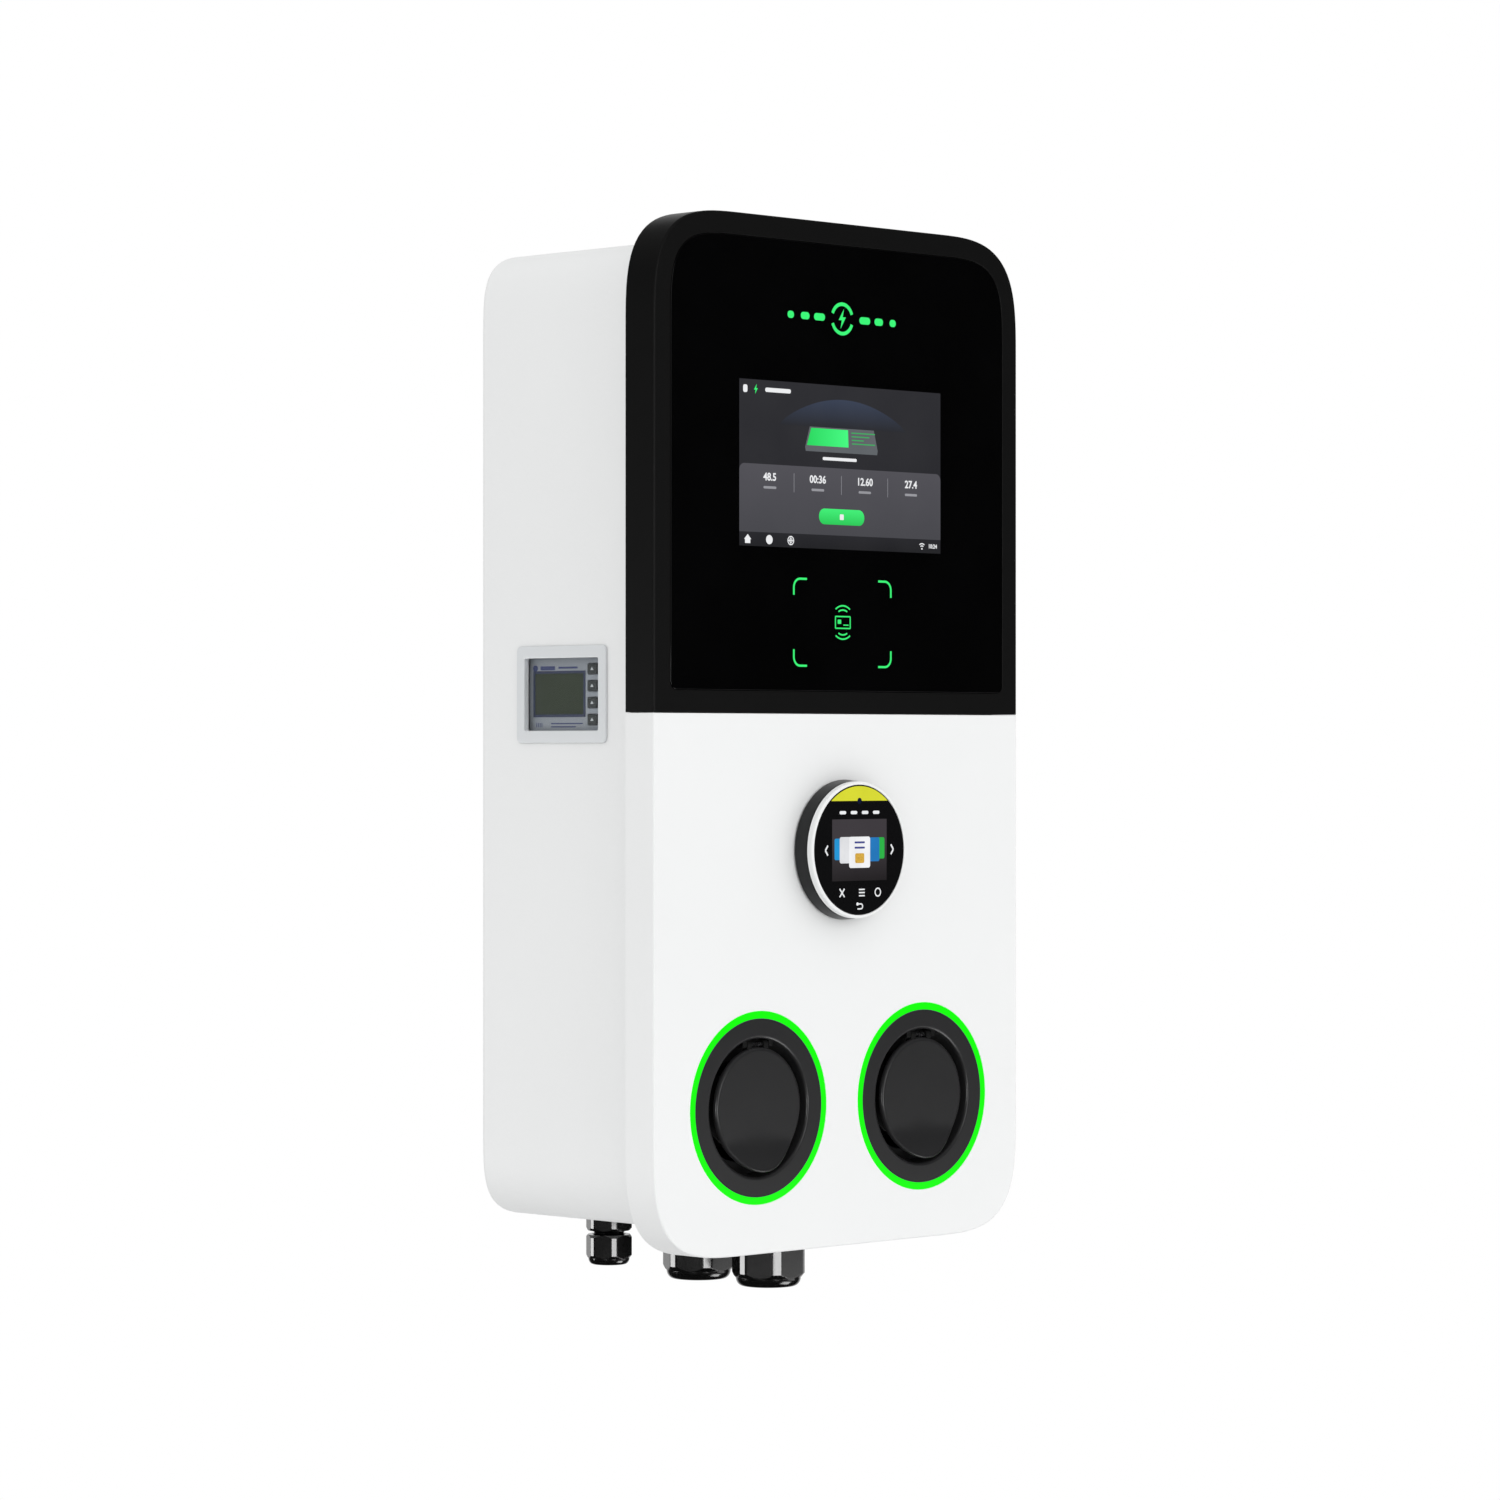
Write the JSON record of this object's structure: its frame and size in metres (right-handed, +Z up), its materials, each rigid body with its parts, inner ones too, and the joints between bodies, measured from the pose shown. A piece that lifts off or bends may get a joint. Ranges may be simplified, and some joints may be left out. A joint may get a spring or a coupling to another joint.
{
  "type": "ev charging station",
  "caption": "Wall-mounted charging station: white box with black glass display, round payment terminal, flapped vehicle sockets with lit rings, side meter window and cable glands.",
  "frame": {"origin": "middle of the wall bracket's rear face, on the wall plane", "axes": "+X right as seen from the front, +Y into the wall, +Z up; the display and sockets face -Y"},
  "size_m": [0.32, 0.1868, 0.6538],
  "materials": {
    "white_coating": "satin powder coat",
    "white_plastic": "satin moulded",
    "black_plastic": "satin moulded",
    "black_glass": "polished, printed black behind",
    "gasket_rubber": "matt foam rubber",
    "galvanised_steel": "zinc plated",
    "stainless_steel": "brushed",
    "display_module": "matt",
    "circuit_board": "solder mask",
    "socket_plastic": "fine grain",
    "green_light": "lit diffuser",
    "device_dark": "matt",
    "device_grey": "matt",
    "meter_grey": "matt",
    "meter_key": "matt",
    "window_clear": "clear with a frosted border",
    "gland_plastic": "satin polyamide"
  },
  "bodies": {
    "station": {"rear_housing": "white_coating", "lower_front_cover": "white_plastic", "terminal_ring": "white_plastic", "upper_front_cover": "black_plastic", "terminal_body": "black_plastic", "display_glass": "black_glass", "terminal_glass": "black_glass", "cover_gasket": "gasket_rubber", "wall_bracket": "galvanised_steel", "din_rail": "galvanised_steel", "cover_screw_left": "stainless_steel", "cover_screw_right": "stainless_steel", "flap_hinge_pin_left": "stainless_steel", "flap_hinge_pin_right": "stainless_steel", "flap_spring_left": "stainless_steel", "flap_spring_right": "stainless_steel", "touch_display": "display_module", "main_board": "circuit_board", "card_reader_board": "circuit_board", "socket_bezel_left": "socket_plastic", "socket_bezel_right": "socket_plastic", "socket_insert_left": "socket_plastic", "socket_insert_right": "socket_plastic", "light_ring_left": "green_light", "light_ring_right": "green_light", "lock_actuator_left": "device_dark", "lock_actuator_right": "device_dark", "contactor_left": "device_dark", "contactor_right": "device_dark", "residual_breaker_left": "device_grey", "residual_breaker_right": "device_grey", "terminal_block": "device_grey", "power_supply": "device_grey", "energy_meter_left": "meter_grey", "energy_meter_right": "meter_grey", "meter_window_left": "window_clear", "meter_window_right": "window_clear", "supply_gland_front_body": "gland_plastic", "supply_gland_front_nut": "gland_plastic", "supply_gland_front_lock_nut": "gland_plastic", "supply_gland_rear_body": "gland_plastic", "supply_gland_rear_nut": "gland_plastic", "supply_gland_rear_lock_nut": "gland_plastic", "data_gland_body": "gland_plastic", "data_gland_nut": "gland_plastic", "data_gland_lock_nut": "gland_plastic"},
    "flap_left": {"socket_flap_left": "socket_plastic"},
    "flap_right": {"socket_flap_right": "socket_plastic"},
    "lock_left": {"lock_pin_left": "stainless_steel"},
    "lock_right": {"lock_pin_right": "stainless_steel"},
    "toggle_left": {"breaker_toggle_left": "device_dark"},
    "toggle_right": {"breaker_toggle_right": "device_dark"},
    "key_left_1": {"meter_key_left_1": "meter_key"},
    "key_left_2": {"meter_key_left_2": "meter_key"},
    "key_left_3": {"meter_key_left_3": "meter_key"},
    "key_left_4": {"meter_key_left_4": "meter_key"},
    "key_right_1": {"meter_key_right_1": "meter_key"},
    "key_right_2": {"meter_key_right_2": "meter_key"},
    "key_right_3": {"meter_key_right_3": "meter_key"},
    "key_right_4": {"meter_key_right_4": "meter_key"}
  },
  "joints": [
    {"name": "flap_hinge_left", "type": "hinge", "parent": "station", "child": "flap_left", "pos_m": [-0.072, -0.169, -0.1862], "axis": [-1, 0, 0], "range_deg": [0, 95], "stiffness_Nm_per_rad": 0.03, "springref_deg": -40.11},
    {"name": "flap_hinge_right", "type": "hinge", "parent": "station", "child": "flap_right", "pos_m": [0.072, -0.169, -0.1862], "axis": [-1, 0, 0], "range_deg": [0, 95], "stiffness_Nm_per_rad": 0.03, "springref_deg": -40.11},
    {"name": "lock_slide_left", "type": "slide", "parent": "station", "child": "lock_left", "axis": [0, 0, -1], "range_m": [0, 0.007]},
    {"name": "lock_slide_right", "type": "slide", "parent": "station", "child": "lock_right", "axis": [0, 0, -1], "range_m": [0, 0.007]},
    {"name": "toggle_hinge_left", "type": "hinge", "parent": "station", "child": "toggle_left", "pos_m": [-0.083, -0.0753, -0.126], "axis": [1, 0, 0], "range_deg": [0, 80]},
    {"name": "toggle_hinge_right", "type": "hinge", "parent": "station", "child": "toggle_right", "pos_m": [0.083, -0.0753, -0.126], "axis": [1, 0, 0], "range_deg": [0, 80]},
    {"name": "key_press_left_1", "type": "slide", "parent": "station", "child": "key_left_1", "axis": [1, 0, 0], "range_m": [0, 0.0007], "stiffness_N_per_m": 1500, "springref_m": -0.0002},
    {"name": "key_press_left_2", "type": "slide", "parent": "station", "child": "key_left_2", "axis": [1, 0, 0], "range_m": [0, 0.0007], "stiffness_N_per_m": 1500, "springref_m": -0.0002},
    {"name": "key_press_left_3", "type": "slide", "parent": "station", "child": "key_left_3", "axis": [1, 0, 0], "range_m": [0, 0.0007], "stiffness_N_per_m": 1500, "springref_m": -0.0002},
    {"name": "key_press_left_4", "type": "slide", "parent": "station", "child": "key_left_4", "axis": [1, 0, 0], "range_m": [0, 0.0007], "stiffness_N_per_m": 1500, "springref_m": -0.0002},
    {"name": "key_press_right_1", "type": "slide", "parent": "station", "child": "key_right_1", "axis": [-1, 0, 0], "range_m": [0, 0.0007], "stiffness_N_per_m": 1500, "springref_m": -0.0002},
    {"name": "key_press_right_2", "type": "slide", "parent": "station", "child": "key_right_2", "axis": [-1, 0, 0], "range_m": [0, 0.0007], "stiffness_N_per_m": 1500, "springref_m": -0.0002},
    {"name": "key_press_right_3", "type": "slide", "parent": "station", "child": "key_right_3", "axis": [-1, 0, 0], "range_m": [0, 0.0007], "stiffness_N_per_m": 1500, "springref_m": -0.0002},
    {"name": "key_press_right_4", "type": "slide", "parent": "station", "child": "key_right_4", "axis": [-1, 0, 0], "range_m": [0, 0.0007], "stiffness_N_per_m": 1500, "springref_m": -0.0002}
  ]
}
